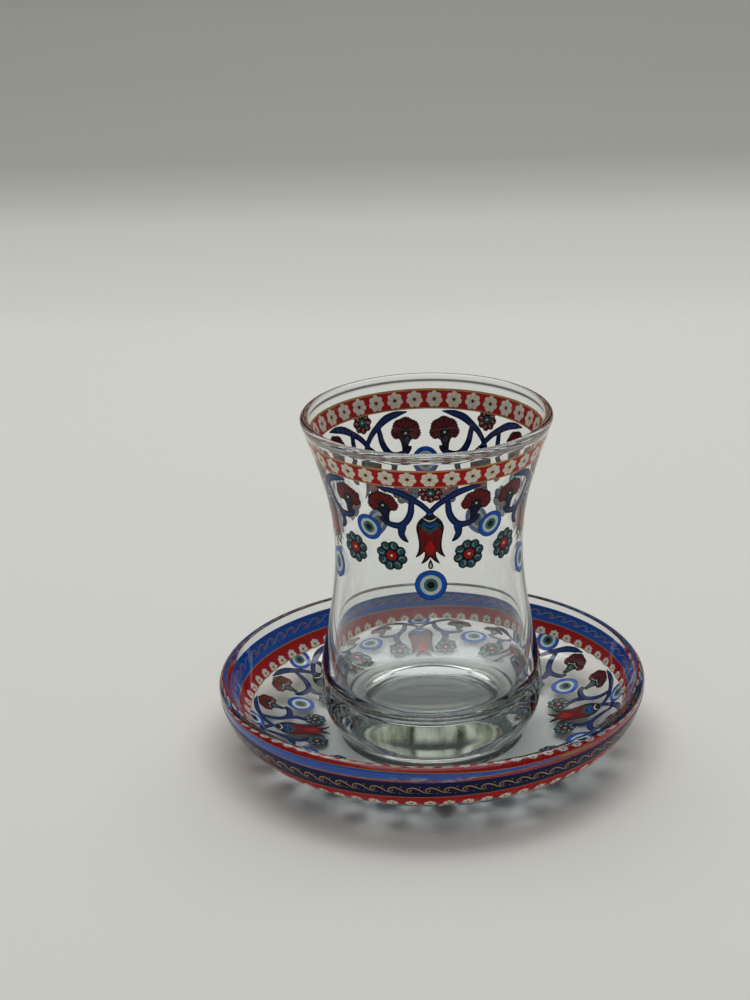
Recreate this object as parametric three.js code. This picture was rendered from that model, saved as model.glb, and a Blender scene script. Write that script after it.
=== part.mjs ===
// A waisted tea glass standing in its dished glass saucer.
// Millimetres, +Z up. The origin is the middle of the saucer's foot, on the table.
import * as THREE from "three";

// Driving dimensions of the saucer
const SAUCER_RADIUS = 55;
const SAUCER_HEIGHT = 20;
const SAUCER_FLOOR_HEIGHT = 4.7;
const SAUCER_FLOOR_RADIUS = 25;
const SAUCER_LIP_FALL = 1.8;
const SAUCER_LIP_ROUND = 1.9;
const SAUCER_INNER_ROUND = 0.34;
const SAUCER_INNER_END = (172 / 180) * Math.PI;
const UNDERSIDE_PULLS = [new THREE.Vector2(44, 2.2), new THREE.Vector2(53.5, 6)];
const DISH_PULLS = [new THREE.Vector2(45.3, 6.2), new THREE.Vector2(47.7, 8)];
const FOOT_INNER_RADIUS = 19.5;
const FOOT_OUTER_RADIUS = 23;
const FOOT_RECESS = 0.7;

// Driving dimensions of the glass
const GLASS_HEIGHT = 85.4;
const STANDING_GAP = 0.3;
const MOUTH_RADIUS = 31.8;
const WAIST_RADIUS = 23.8;
const BULGE_RADIUS = 28.5;
const HEEL_RADIUS = 24.9;
const HEEL_ROUND = 1.6;
const PUNT_RADIUS = 20.6;
const PUNT_RISE = 0.9;
const BASE_THICKNESS = 8.5;
const CAVITY_FLAT_RADIUS = 12.5;
const CAVITY_CORNER_RISE = 8.6;
const MOUTH_WALL = 1.6;
const BEAD_THICKNESS = 2.2;
const BEAD_END = 1.2 * Math.PI;

// How finely the curves are cut
const TURN_STEPS = 64;
const SPAN_STEPS = 4;
const LONG_SPAN = 12;
const CORNER_STEPS = 6;
const SAUCER_STEPS = 12;

const GLASS_BASE = SAUCER_FLOOR_HEIGHT + STANDING_GAP;

// Where the glass's outside turns, from the heel to the mouth: height over the glass's own base,
// radius, slope of the radius by the height, and wall.
const OUTSIDE_STATIONS = [
  { height: 1.6, radius: HEEL_RADIUS + 0.5, slope: 0.62, wall: 3.2 },
  { height: 6.5, radius: BULGE_RADIUS - 0.75, slope: 0.24, wall: 3.2 },
  { height: 14.2, radius: BULGE_RADIUS, slope: 0, wall: 2.9 },
  { height: 25, radius: BULGE_RADIUS - 1.6, slope: -0.2, wall: 2.3 },
  { height: 50.4, radius: WAIST_RADIUS, slope: 0, wall: 1.7 },
  { height: 69, radius: WAIST_RADIUS + 2.6, slope: 0.27, wall: 1.6 },
  { height: GLASS_HEIGHT, radius: MOUTH_RADIUS, slope: 0.33, wall: MOUTH_WALL },
];

// Radius and wall at a height: a cubic through the stations either side, with their slopes.
function glassAt(height) {
  const last = OUTSIDE_STATIONS.length - 2;
  const found = OUTSIDE_STATIONS.findIndex((station, i) => i > last || height <= OUTSIDE_STATIONS[i + 1].height);
  const low = OUTSIDE_STATIONS[Math.min(found, last)];
  const high = OUTSIDE_STATIONS[Math.min(found, last) + 1];
  const span = high.height - low.height;
  const t = (height - low.height) / span;
  const ease = t * t * (3 - 2 * t);
  const radius =
    low.radius +
    (high.radius - low.radius) * ease +
    span * (low.slope * t * (1 - t) * (1 - t) - high.slope * t * t * (1 - t));
  return { radius, wall: low.wall + (high.wall - low.wall) * t };
}

// Points of an elliptical arc in the profile plane, both ends included.
function arc(centreR, centreZ, radiusR, radiusZ, from, to, steps) {
  return Array.from({ length: steps + 1 }, (_, i) => {
    const angle = from + ((to - from) * i) / steps;
    return new THREE.Vector2(centreR + radiusR * Math.cos(angle), centreZ + radiusZ * Math.sin(angle));
  });
}

// Heights at even steps within each span of stations, from one height up to the top.
function stationHeights(lowest, highest) {
  const heights = [lowest];
  for (let i = 1; i < OUTSIDE_STATIONS.length; i += 1) {
    const low = OUTSIDE_STATIONS[i - 1].height;
    const high = OUTSIDE_STATIONS[i].height;
    const steps = high - low > LONG_SPAN ? SPAN_STEPS : SPAN_STEPS - 1;
    for (let k = 1; k <= steps; k += 1) {
      const height = low + ((high - low) * k) / steps;
      if (height > lowest + 0.5 && height < highest - 0.5) heights.push(height);
    }
  }
  heights.push(highest);
  return heights;
}

// The glass's closed half-section, counter-clockwise from the axis under the base.
function glassProfile() {
  const heel = OUTSIDE_STATIONS[0];
  const lipRadius = BEAD_THICKNESS / 2;
  const lipFoot = GLASS_HEIGHT - lipRadius;
  const cavityFloor = BASE_THICKNESS;
  const cornerTop = cavityFloor + CAVITY_CORNER_RISE;
  const corner = glassAt(cornerTop);
  const cornerReach = corner.radius - corner.wall - CAVITY_FLAT_RADIUS;

  const under = [
    new THREE.Vector2(0, PUNT_RISE),
    new THREE.Vector2(PUNT_RADIUS - 1, PUNT_RISE),
    new THREE.Vector2(PUNT_RADIUS, 0),
    new THREE.Vector2(HEEL_RADIUS - HEEL_ROUND, 0),
  ];
  const heelRound = arc(
    HEEL_RADIUS - HEEL_ROUND, HEEL_ROUND, heel.radius - HEEL_RADIUS + HEEL_ROUND, HEEL_ROUND,
    -Math.PI / 2, 0, 3,
  ).slice(1);
  const outside = stationHeights(heel.height, lipFoot)
    .slice(1)
    .map((height) => new THREE.Vector2(glassAt(height).radius, height));
  const lipOutside = glassAt(lipFoot).radius;
  const bead = arc(lipOutside - lipRadius, lipFoot, lipRadius, lipRadius, 0, BEAD_END, CORNER_STEPS + 1)
    .slice(1);
  const inside = stationHeights(cornerTop, lipFoot - lipRadius)
    .reverse()
    .map((height) => {
      const at = glassAt(height);
      return new THREE.Vector2(at.radius - at.wall, height);
    });
  const cavityCorner = arc(
    CAVITY_FLAT_RADIUS, cornerTop, cornerReach, CAVITY_CORNER_RISE, 0, -Math.PI / 2, CORNER_STEPS,
  ).slice(1);
  const floorMiddle = new THREE.Vector2(0, cavityFloor);
  return [...under, ...heelRound, ...outside, ...bead, ...inside, ...cavityCorner, floorMiddle];
}

// The saucer's under surface, from the foot to the lip.
const saucerUnderside = new THREE.CubicBezierCurve(
  new THREE.Vector2(FOOT_OUTER_RADIUS + 1, FOOT_RECESS),
  ...UNDERSIDE_PULLS,
  new THREE.Vector2(SAUCER_RADIUS, SAUCER_HEIGHT - SAUCER_LIP_FALL),
);

// The saucer's closed half-section, counter-clockwise from the axis under the foot.
function saucerProfile() {
  const foot = [
    new THREE.Vector2(0, FOOT_RECESS),
    new THREE.Vector2(FOOT_INNER_RADIUS - 1, FOOT_RECESS),
    new THREE.Vector2(FOOT_INNER_RADIUS, 0),
    new THREE.Vector2(FOOT_OUTER_RADIUS, 0),
  ];
  const outside = saucerUnderside.getPoints(SAUCER_STEPS);
  const crown = SAUCER_RADIUS - SAUCER_LIP_ROUND;
  const outerLip = arc(
    crown, SAUCER_HEIGHT - SAUCER_LIP_FALL, SAUCER_LIP_ROUND, SAUCER_LIP_FALL, 0, Math.PI / 2, CORNER_STEPS,
  ).slice(1);
  const innerLip = arc(
    crown, SAUCER_HEIGHT - SAUCER_INNER_ROUND, SAUCER_INNER_ROUND, SAUCER_INNER_ROUND,
    Math.PI / 2, SAUCER_INNER_END, 3,
  ).slice(1);
  const dish = new THREE.CubicBezierCurve(
    new THREE.Vector2(SAUCER_FLOOR_RADIUS + 1.5, SAUCER_FLOOR_HEIGHT),
    ...DISH_PULLS,
    innerLip[innerLip.length - 1],
  )
    .getPoints(SAUCER_STEPS + 4)
    .slice(0, -1)
    .reverse();
  const floor = [
    new THREE.Vector2(SAUCER_FLOOR_RADIUS, SAUCER_FLOOR_HEIGHT),
    new THREE.Vector2(0, SAUCER_FLOOR_HEIGHT),
  ];
  return [...foot, ...outside, ...outerLip, ...innerLip, ...dish, ...floor];
}

// Turns a half-section about the upright axis. LatheGeometry turns about Y, so its axis is laid over to Z.
function turned(profile, name, material) {
  const geometry = new THREE.LatheGeometry(profile, TURN_STEPS);
  geometry.rotateX(Math.PI / 2);
  const mesh = new THREE.Mesh(geometry, material);
  mesh.name = name;
  return mesh;
}

const clearGlass = new THREE.MeshStandardMaterial({
  color: 0xe6ecea, roughness: 0.04, metalness: 0, transparent: true, opacity: 0.35,
});
const saucerGlass = new THREE.MeshStandardMaterial({
  color: 0xdfe7e8, roughness: 0.05, metalness: 0, transparent: true, opacity: 0.35,
});

const group = new THREE.Group();
const saucer = turned(saucerProfile(), "saucer", saucerGlass);
const glass = turned(glassProfile(), "glass", clearGlass);
glass.position.z = GLASS_BASE;
group.add(saucer, glass);

export default group;
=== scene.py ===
"""A waisted tea glass standing in its dished saucer, both clear, with a fired enamel print.

Sizes are in millimetres and become metres as each mesh is made. An angle round the vessels is
counted from the camera's side, -Y, towards +X. A place on a print is (angle, down): the angle in
radians, and the length down the outside from the rim in millimetres.
"""

import logging
import math
from dataclasses import dataclass, field
from enum import Enum

import bpy
import numpy as np
from mathutils import Matrix, Vector
from mathutils.geometry import delaunay_2d_cdt

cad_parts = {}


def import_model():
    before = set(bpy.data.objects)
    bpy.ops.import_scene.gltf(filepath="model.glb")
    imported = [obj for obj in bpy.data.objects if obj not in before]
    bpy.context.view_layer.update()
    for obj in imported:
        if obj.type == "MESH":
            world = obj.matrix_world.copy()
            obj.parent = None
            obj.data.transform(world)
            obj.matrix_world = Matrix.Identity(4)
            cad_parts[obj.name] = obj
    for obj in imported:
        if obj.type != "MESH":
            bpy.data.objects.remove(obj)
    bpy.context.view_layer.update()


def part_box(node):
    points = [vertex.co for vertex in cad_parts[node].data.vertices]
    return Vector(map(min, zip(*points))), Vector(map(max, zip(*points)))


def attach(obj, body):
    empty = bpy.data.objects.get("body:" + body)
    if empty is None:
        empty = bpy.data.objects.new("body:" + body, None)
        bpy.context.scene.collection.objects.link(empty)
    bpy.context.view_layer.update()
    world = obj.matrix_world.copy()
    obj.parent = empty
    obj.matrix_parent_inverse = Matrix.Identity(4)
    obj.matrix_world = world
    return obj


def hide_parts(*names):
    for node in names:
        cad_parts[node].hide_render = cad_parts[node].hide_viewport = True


log = logging.getLogger("tea_glass")

MM = 0.001
BODY = "root"
TURN_STEPS = 256


class Ink(Enum):
    """The fired enamels of the print, by the name that their pieces end in."""

    RED = "red"
    CRIMSON = "crimson"
    BLUE = "blue"
    COBALT = "cobalt"
    NAVY = "navy"
    SKY = "sky"
    TEAL = "teal"
    SEA = "sea"
    CREAM = "cream"
    GOLD = "gold"
    BLACK = "black"


@dataclass(frozen=True)
class EnamelFinish:
    """A glossy fired enamel with a little mottle.

    Attributes:
        colour: linear base colour.
        slot: the record's material slot; not used.
        mottle: how far the colour wanders, as a share.
        roughness: mean roughness.
        grain: how fine the mottle is, in noise cells per metre.
        peel: height of the orange-peel bump in millimetres.
        specular: the Principled shader's specular level.
    """

    colour: tuple[float, float, float]
    slot: str
    mottle: float = 0.1
    roughness: float = 0.13
    grain: float = 900.0
    peel: float = 0.02
    specular: float = 0.12

    def material(self, name: str) -> bpy.types.Material:
        """Builds the node material: mottled colour, uneven gloss and a fine orange-peel bump.

        Args:
            name: the material's name.

        Returns:
            The material.
        """
        material, nodes, links, shader = blank_material(name)
        place = nodes.new("ShaderNodeTexCoord").outputs["Object"]
        mottle = noise_at(material.node_tree, place, self.grain, 3.0)
        ramp = nodes.new("ShaderNodeValToRGB")
        low, high = ramp.color_ramp.elements
        low.position, high.position = 0.3, 0.7
        low.color = (*[c * (1.0 - self.mottle) for c in self.colour], 1.0)
        high.color = (*[min(1.0, c * (1.0 + self.mottle)) for c in self.colour], 1.0)
        links.new(mottle, ramp.inputs["Fac"])
        links.new(ramp.outputs["Color"], shader.inputs["Base Color"])
        gloss = nodes.new("ShaderNodeMapRange")
        gloss.inputs["To Min"].default_value = self.roughness * 0.7
        gloss.inputs["To Max"].default_value = self.roughness * 1.4
        links.new(mottle, gloss.inputs["Value"])
        links.new(gloss.outputs["Result"], shader.inputs["Roughness"])
        shader.inputs["Specular IOR Level"].default_value = self.specular
        bump_from(material.node_tree, mottle, 0.12, self.peel)
        return material


@dataclass(frozen=True)
class ClearGlassFinish:
    """Pressed soda-lime glass: clear, faintly tinted in the thick, with a slow ripple.

    Attributes:
        tint: colour of light through the surface.
        depth_colour: colour that thick glass goes towards.
        depth_density: how quickly it goes there, per metre.
        ripple: height of the slow ripple in millimetres.
        shade: what a lamp's light keeps as it crosses one surface on its way to what it lights.
        smear: roughness in the middle of a smear.
        refraction: index of refraction.
    """

    tint: tuple[float, float, float] = (0.985, 0.992, 0.99)
    shade: tuple[float, float, float] = (0.40, 0.43, 0.46)
    depth_colour: tuple[float, float, float] = (0.78, 0.84, 0.82)
    depth_density: float = 20.0
    ripple: float = 0.008
    smear: float = 0.012
    refraction: float = 1.52

    def material(self, name: str) -> bpy.types.Material:
        """Builds the node material: a clear refracting shader with ripple and faint smears.

        Args:
            name: the material's name.

        Returns:
            The material.
        """
        material, nodes, links, shader = blank_material(name)
        shader.inputs["Base Color"].default_value = (*self.tint, 1.0)
        shader.inputs["Transmission Weight"].default_value = 1.0
        shader.inputs["IOR"].default_value = self.refraction
        place = nodes.new("ShaderNodeTexCoord").outputs["Object"]
        slow = noise_at(material.node_tree, place, 70.0, 1.0)
        bump_from(material.node_tree, slow, 1.0, self.ripple)
        gloss = nodes.new("ShaderNodeMapRange")
        gloss.inputs["From Min"].default_value = 0.45
        gloss.inputs["From Max"].default_value = 0.8
        gloss.inputs["To Min"].default_value = 0.0
        gloss.inputs["To Max"].default_value = self.smear
        links.new(noise_at(material.node_tree, place, 45.0, 5.0), gloss.inputs["Value"])
        links.new(gloss.outputs["Result"], shader.inputs["Roughness"])
        inside = nodes.new("ShaderNodeVolumeAbsorption")
        inside.inputs["Color"].default_value = (*self.depth_colour, 1.0)
        inside.inputs["Density"].default_value = self.depth_density
        links.new(inside.outputs["Volume"], nodes["Material Output"].inputs["Volume"])
        way = nodes.new("ShaderNodeLightPath")
        window = nodes.new("ShaderNodeBsdfTransparent")
        window.inputs["Color"].default_value = (*self.shade, 1.0)
        choice = nodes.new("ShaderNodeMixShader")
        links.new(way.outputs["Is Shadow Ray"], choice.inputs["Fac"])
        links.new(shader.outputs["BSDF"], choice.inputs[1])
        links.new(window.outputs["BSDF"], choice.inputs[2])
        links.new(choice.outputs["Shader"], nodes["Material Output"].inputs["Surface"])
        return material


FINISHES = {
    Ink.RED: EnamelFinish((0.50, 0.004, 0.005), "red_enamel"),
    Ink.CRIMSON: EnamelFinish((0.20, 0.004, 0.007), "red_enamel"),
    Ink.BLUE: EnamelFinish((0.002, 0.115, 0.60), "blue_enamel"),
    Ink.COBALT: EnamelFinish((0.003, 0.034, 0.19), "blue_enamel"),
    Ink.NAVY: EnamelFinish((0.003, 0.008, 0.06), "dark_enamel"),
    Ink.SKY: EnamelFinish((0.70, 0.78, 0.75), "cream_enamel"),
    Ink.TEAL: EnamelFinish((0.022, 0.10, 0.125), "teal_enamel"),
    Ink.SEA: EnamelFinish((0.05, 0.19, 0.18), "teal_enamel"),
    Ink.CREAM: EnamelFinish((0.88, 0.81, 0.69), "cream_enamel"),
    Ink.GOLD: EnamelFinish((0.50, 0.31, 0.11), "gold_enamel"),
    Ink.BLACK: EnamelFinish((0.003, 0.003, 0.005), "dark_enamel"),
}


def blank_material(
    name: str,
) -> tuple[bpy.types.Material, bpy.types.Nodes, bpy.types.NodeLinks, bpy.types.Node]:
    """Makes a node material that holds one Principled shader.

    Args:
        name: the material's name.

    Returns:
        The material, its nodes, its links and the shader.
    """
    material = bpy.data.materials.new(name)
    material.use_nodes = True
    nodes, links = material.node_tree.nodes, material.node_tree.links
    return material, nodes, links, nodes["Principled BSDF"]


def noise_at(
    tree: bpy.types.NodeTree, place: bpy.types.NodeSocket, scale: float, detail: float,
) -> bpy.types.NodeSocket:
    """Adds a noise.

    Args:
        tree: where it goes.
        place: the coordinates it reads.
        scale: cells per metre.
        detail: how many finer layers it has.

    Returns:
        The noise's own value, 0 to 1.
    """
    noise = tree.nodes.new("ShaderNodeTexNoise")
    noise.inputs["Scale"].default_value = scale
    noise.inputs["Detail"].default_value = detail
    tree.links.new(place, noise.inputs["Vector"])
    return noise.outputs["Fac"]


def bump_from(
    tree: bpy.types.NodeTree, height: bpy.types.NodeSocket, strength: float, depth: float,
) -> None:
    """Adds a bump to the Principled shader.

    Args:
        tree: where it goes.
        height: what it reads, 0 to 1.
        strength: its strength, 0 to 1.
        depth: its height in millimetres.
    """
    bump = tree.nodes.new("ShaderNodeBump")
    bump.inputs["Strength"].default_value = strength
    bump.inputs["Distance"].default_value = depth * MM
    tree.links.new(height, bump.inputs["Height"])
    tree.links.new(bump.outputs["Normal"], tree.nodes["Principled BSDF"].inputs["Normal"])


def piece_from(
    name: str,
    points: np.ndarray,
    faces: list[list[int]],
    material: bpy.types.Material,
    sharp_pairs: np.ndarray | None = None,
) -> bpy.types.Object:
    """Makes a smooth-shaded object from points in millimetres.

    Args:
        name: the piece's name.
        points: (n, 3) places in millimetres.
        faces: vertex numbers of each face, counter-clockwise from outside.
        material: its one material.
        sharp_pairs: (m, 2) vertex pairs whose edges stay crisp.

    Returns:
        The object, at the origin.
    """
    mesh = bpy.data.meshes.new(name)
    mesh.from_pydata((points * MM).tolist(), [], faces)
    mesh.polygons.foreach_set("use_smooth", np.ones(len(mesh.polygons), bool))
    if sharp_pairs is not None:
        ends = np.zeros(len(mesh.edges) * 2, np.int64)
        mesh.edges.foreach_get("vertices", ends)
        ends = np.sort(ends.reshape(-1, 2), axis=1)
        pairs = np.sort(sharp_pairs, axis=1)
        count = len(points)
        crisp = np.isin(ends[:, 0] * count + ends[:, 1], pairs[:, 0] * count + pairs[:, 1])
        mesh.edges.foreach_set("use_edge_sharp", crisp)
    mesh.update()
    mesh.materials.append(material)
    piece = bpy.data.objects.new(name, mesh)
    bpy.context.scene.collection.objects.link(piece)
    return piece


def revolved(section: np.ndarray, steps: int) -> tuple[np.ndarray, list[list[int]]]:
    """Turns a half-section that starts and ends on the axis: (r sin a, -r cos a, z).

    Args:
        section: (n, 2) radius and height, outside of the solid on its right.
        steps: how many steps go round.

    Returns:
        The points and the faces, poles closed by fans.
    """
    ring = section[1:-1]
    angle = np.linspace(0.0, 2 * np.pi, steps, endpoint=False)
    radius = ring[:, :1] * np.ones(steps)
    height = ring[:, 1:] * np.ones(steps)
    around = np.stack([radius * np.sin(angle), -radius * np.cos(angle), height], axis=-1)
    poles = np.array([[0.0, 0.0, section[0, 1]], [0.0, 0.0, section[-1, 1]]])
    points = np.concatenate([around.reshape(-1, 3), poles])
    row = np.arange(len(ring) - 1)[:, None] * steps
    here = np.arange(steps)
    after = (here + 1) % steps
    quads = np.stack([row + here, row + after, row + steps + after, row + steps + here], axis=-1)
    low_pole, high_pole = len(points) - 2, len(points) - 1
    top = (len(ring) - 1) * steps
    low_fan = np.stack([after, here, np.full(steps, low_pole)], axis=-1)
    high_fan = np.stack([top + here, top + after, np.full(steps, high_pole)], axis=-1)
    return points, quads.reshape(-1, 4).tolist() + low_fan.tolist() + high_fan.tolist()


def arc(
    centre: tuple[float, float], reach: tuple[float, float], start: float, end: float, steps: int,
) -> np.ndarray:
    """Points of an elliptical arc in a half-section.

    Args:
        centre: radius and height of its middle.
        reach: half-widths along radius and height.
        start: first angle in degrees from the outward direction.
        end: last angle in degrees.
        steps: how many steps, both ends kept.

    Returns:
        (steps + 1, 2) points.
    """
    angle = np.radians(np.linspace(start, end, steps + 1))
    unit = np.stack([np.cos(angle), np.sin(angle)], axis=-1)
    return np.array(centre) + np.array(reach) * unit


def eased(start: tuple[float, float], end: tuple[float, float], steps: int) -> np.ndarray:
    """A soft step between two levels: the height follows half a cosine wave as the radius moves.

    Args:
        start: first radius and height.
        end: last radius and height.
        steps: how many steps, both ends kept.

    Returns:
        (steps + 1, 2) points.
    """
    share = np.linspace(0.0, 1.0, steps + 1)
    radius = start[0] + (end[0] - start[0]) * share
    height = start[1] + (end[1] - start[1]) * (1 - np.cos(np.pi * share)) / 2
    return np.stack([radius, height], axis=-1)


def bezier(pull: np.ndarray, count: int) -> np.ndarray:
    """Points of a cubic curve: the four pulling points weighted by the cubic Bernstein polynomials.

    Args:
        pull: (4, 2) pulling points.
        count: how many points.

    Returns:
        (count, 2) points.
    """
    t = np.linspace(0.0, 1.0, count)[:, None]
    return np.hstack([(1 - t) ** 3, 3 * t * (1 - t) ** 2, 3 * t * t * (1 - t), t**3]) @ pull


class Skin:
    """The outside of a turned vessel, measured down from the rim.

    The curve's points are joined by straight steps, so a place is found by interpolating radius,
    height and slope against the length down from the rim.
    """

    def __init__(self, curve: np.ndarray) -> None:
        """Measures the curve.

        Args:
            curve: (n, 2) radius and height, from the rim downwards.
        """
        self.down = np.concatenate([[0.0], np.cumsum(np.hypot(*np.diff(curve, axis=0).T))])
        self.curve = curve
        self.tangent = np.gradient(curve, self.down, axis=0)

    def radius(self, down: np.ndarray | float) -> np.ndarray:
        """Radius at a length down from the rim."""
        return np.interp(down, self.down, self.curve[:, 0])

    def down_at_radius(self, radius: float) -> float:
        """Length down from the rim at which a dish's under surface has a radius."""
        return float(np.interp(-radius, -self.curve[:, 0], self.down))

    def place(self, angle: np.ndarray, down: np.ndarray, lift: float) -> np.ndarray:
        """Points at a lift over the skin, along its outward normal.

        Args:
            angle: angles in radians.
            down: lengths down from the rim.
            lift: how far out, in millimetres.

        Returns:
            (n, 3) places in millimetres.
        """
        slope_radius = np.interp(down, self.down, self.tangent[:, 0])
        slope_height = np.interp(down, self.down, self.tangent[:, 1])
        length = np.hypot(slope_radius, slope_height)
        radius = self.radius(down) - lift * slope_height / length
        height = np.interp(down, self.down, self.curve[:, 1]) + lift * slope_radius / length
        return np.stack([radius * np.sin(angle), -radius * np.cos(angle), height], axis=-1)


@dataclass(frozen=True)
class Station:
    """A turning point of the glass's outside.

    Attributes:
        height: over the glass's own base.
        radius: outside radius there.
        slope: growth of the radius with the height.
        wall: thickness of the wall.
    """

    height: float
    radius: float
    slope: float
    wall: float


@dataclass
class TeaGlass:
    """The waisted glass: thick base, bulge, waist and flared mouth."""

    base: float
    top: float
    heel_radius: float = 24.9
    heel_round: float = 1.6
    punt_radius: float = 20.6
    punt_rise: float = 0.9
    base_thickness: float = 8.5
    cavity_flat: float = 12.5
    cavity_rise: float = 8.6
    bead: float = 2.2
    bead_end: float = 216.0
    finish: ClearGlassFinish = ClearGlassFinish(
        shade=(0.55, 0.57, 0.58), depth_colour=(0.70, 0.75, 0.74), depth_density=50.0,
    )

    def __post_init__(self) -> None:
        """Lays out the stations and the skin that carries the print."""
        tall = self.top - self.base
        self.stations = (
            Station(1.6, 25.4, 0.62, 3.2),
            Station(6.5, 27.75, 0.24, 3.2),
            Station(14.2, 28.5, 0.0, 2.9),
            Station(25.0, 26.9, -0.2, 2.3),
            Station(50.4, 23.8, 0.0, 1.7),
            Station(69.0, 26.4, 0.27, 1.6),
            Station(tall, 31.8, 0.33, 1.6),
        )
        self.lip_foot = tall - self.bead / 2
        heights = np.linspace(self.lip_foot, self.stations[0].height, 260)
        radius, _ = self.outside(heights)
        self.skin = Skin(np.stack([radius, heights + self.base], axis=-1))

    def outside(self, height: np.ndarray) -> tuple[np.ndarray, np.ndarray]:
        """Radius and wall: a cubic with the slopes of the stations either side of a height.

        Args:
            height: heights over the glass's own base.

        Returns:
            The outside radii and the wall thicknesses.
        """
        at = np.array([[s.height, s.radius, s.slope, s.wall] for s in self.stations])
        low = np.clip(np.searchsorted(at[:, 0], height, side="right") - 1, 0, len(at) - 2)
        before, after = at[low], at[low + 1]
        span = after[:, 0] - before[:, 0]
        t = (height - before[:, 0]) / span
        ease = t * t * (3 - 2 * t)
        bend = span * (before[:, 2] * t * (1 - t) ** 2 - after[:, 2] * t * t * (1 - t))
        radius = before[:, 1] + (after[:, 1] - before[:, 1]) * ease + bend
        return radius, before[:, 3] + (after[:, 3] - before[:, 3]) * t

    def section(self) -> np.ndarray:
        """The closed half-section, from the axis under the base out, up, over the lip and in.

        Returns:
            (n, 2) radius and height in millimetres.
        """
        heel = self.stations[0]
        heel_middle = self.heel_radius - self.heel_round
        under = np.concatenate([
            np.array([[0.0, self.punt_rise], [10.0, self.punt_rise]]),
            eased((self.punt_radius - 1, self.punt_rise), (self.punt_radius, 0.0), 8),
            np.array([[22.0, 0.0]]),
        ])
        heel_reach = (heel.radius - heel_middle, heel.height)
        heel_round = arc((heel_middle, heel.height), heel_reach, -90, 0, 10)
        rise = np.linspace(heel.height, self.lip_foot, 110)[1:]
        wall_up, _ = self.outside(rise)
        outside = np.stack([wall_up, rise], axis=-1)
        half_bead = self.bead / 2
        bead_middle = (wall_up[-1] - half_bead, self.lip_foot)
        bead = arc(bead_middle, (half_bead, half_bead), 0, self.bead_end, 20)[1:]
        corner_top = self.base_thickness + self.cavity_rise
        fall = np.linspace(self.lip_foot - half_bead, corner_top, 90)
        radius, wall = self.outside(fall)
        inside = np.stack([radius - wall, fall], axis=-1)
        reach = (inside[-1, 0] - self.cavity_flat, self.cavity_rise)
        corner = arc((self.cavity_flat, corner_top), reach, 0, -90, 22)[1:]
        floor = np.array([[radius, self.base_thickness] for radius in (9.0, 4.5, 0.0)])
        section = np.concatenate([under, heel_round, outside, bead, inside, corner, floor])
        return section + np.array([0.0, self.base])

    def build(self) -> bpy.types.Object:
        """Turns the section into the clear piece that stands for the glass node.

        Returns:
            The piece.
        """
        points, faces = revolved(self.section(), TURN_STEPS)
        piece = piece_from("clear_tea_glass", points, faces, self.finish.material("clear_tea_glass"))
        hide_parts("glass")
        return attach(piece, BODY)


@dataclass
class Saucer:
    """The dished saucer: flat foot ring, level floor and a wall that curves up to the rim."""

    radius: float
    height: float
    floor_height: float = 4.7
    floor_radius: float = 25.0
    lip_fall: float = 1.8
    lip_round: float = 1.9
    inner_round: float = 0.34
    inner_end: float = 172.0
    foot_inner: float = 19.5
    foot_outer: float = 23.0
    foot_recess: float = 0.7
    under_pulls: tuple[tuple[float, float], ...] = ((44.0, 2.2), (53.5, 6.0))
    dish_pulls: tuple[tuple[float, float], ...] = ((45.3, 6.2), (47.7, 8.0))
    finish: ClearGlassFinish = field(default_factory=ClearGlassFinish)

    def __post_init__(self) -> None:
        """Lays out the under surface as one cubic curve, and the skin that carries the print."""
        low_end = (self.foot_outer + 1, self.foot_recess)
        rim = (self.radius, self.height - self.lip_fall)
        self.underside = bezier(np.array([low_end, *self.under_pulls, rim]), 161)
        self.skin = Skin(self.underside[::-1])

    def section(self) -> np.ndarray:
        """The closed half-section, from the axis under the foot out, up, over the lip and in.

        Returns:
            (n, 2) radius and height in millimetres.
        """
        foot = np.concatenate([
            np.array([[radius, self.foot_recess] for radius in (0.0, 7.0, 14.0)]),
            eased((self.foot_inner - 1, self.foot_recess), (self.foot_inner + 0.3, 0.0), 8),
            np.array([[21.0, 0.0]]),
            eased((self.foot_outer - 0.3, 0.0), (self.foot_outer + 1, self.foot_recess), 6)[:-1],
        ])
        crown = self.radius - self.lip_round
        outer_middle = (crown, self.height - self.lip_fall)
        outer_corner = arc(outer_middle, (self.lip_round, self.lip_fall), 0, 90, 12)[1:]
        inner_middle = (crown, self.height - self.inner_round)
        inner_corner = arc(inner_middle, (self.inner_round, self.inner_round), 90, self.inner_end, 7)[1:]
        low_end = (self.floor_radius + 1.5, self.floor_height)
        dish = bezier(np.array([low_end, *self.dish_pulls, tuple(inner_corner[-1])]), 81)
        floor = np.array([[radius, self.floor_height] for radius in (self.floor_radius, 12.0, 0.0)])
        return np.concatenate([foot, self.underside[::2], outer_corner, inner_corner, dish[-2::-1], floor])

    def build(self) -> bpy.types.Object:
        """Turns the section into the clear piece that stands for the saucer node.

        Returns:
            The piece.
        """
        points, faces = revolved(self.section(), TURN_STEPS)
        piece = piece_from("clear_saucer", points, faces, self.finish.material("clear_saucer"))
        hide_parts("saucer")
        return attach(piece, BODY)


@dataclass(frozen=True)
class Patch:
    """One flat field of ink: a closed outline in the motif's own millimetres, +Y to the rim."""

    outline: np.ndarray
    ink: Ink | None


@dataclass(frozen=True)
class Spot:
    """Where a motif goes on a skin.

    Attributes:
        angle: degrees round from the repeat's middle.
        down: millimetres down from the rim.
        turn: degrees counter-clockwise.
        size: scale.
        flip: True to mirror left and right.
    """

    angle: float
    down: float
    turn: float = 0.0
    size: float = 1.0
    flip: bool = False


def round_field(radius: float, points: int = 24, centre: tuple[float, float] = (0.0, 0.0)) -> np.ndarray:
    """A circle's outline."""
    angle = np.linspace(0, 2 * np.pi, points, endpoint=False)
    return np.array(centre) + radius * np.stack([np.cos(angle), np.sin(angle)], axis=-1)


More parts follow.
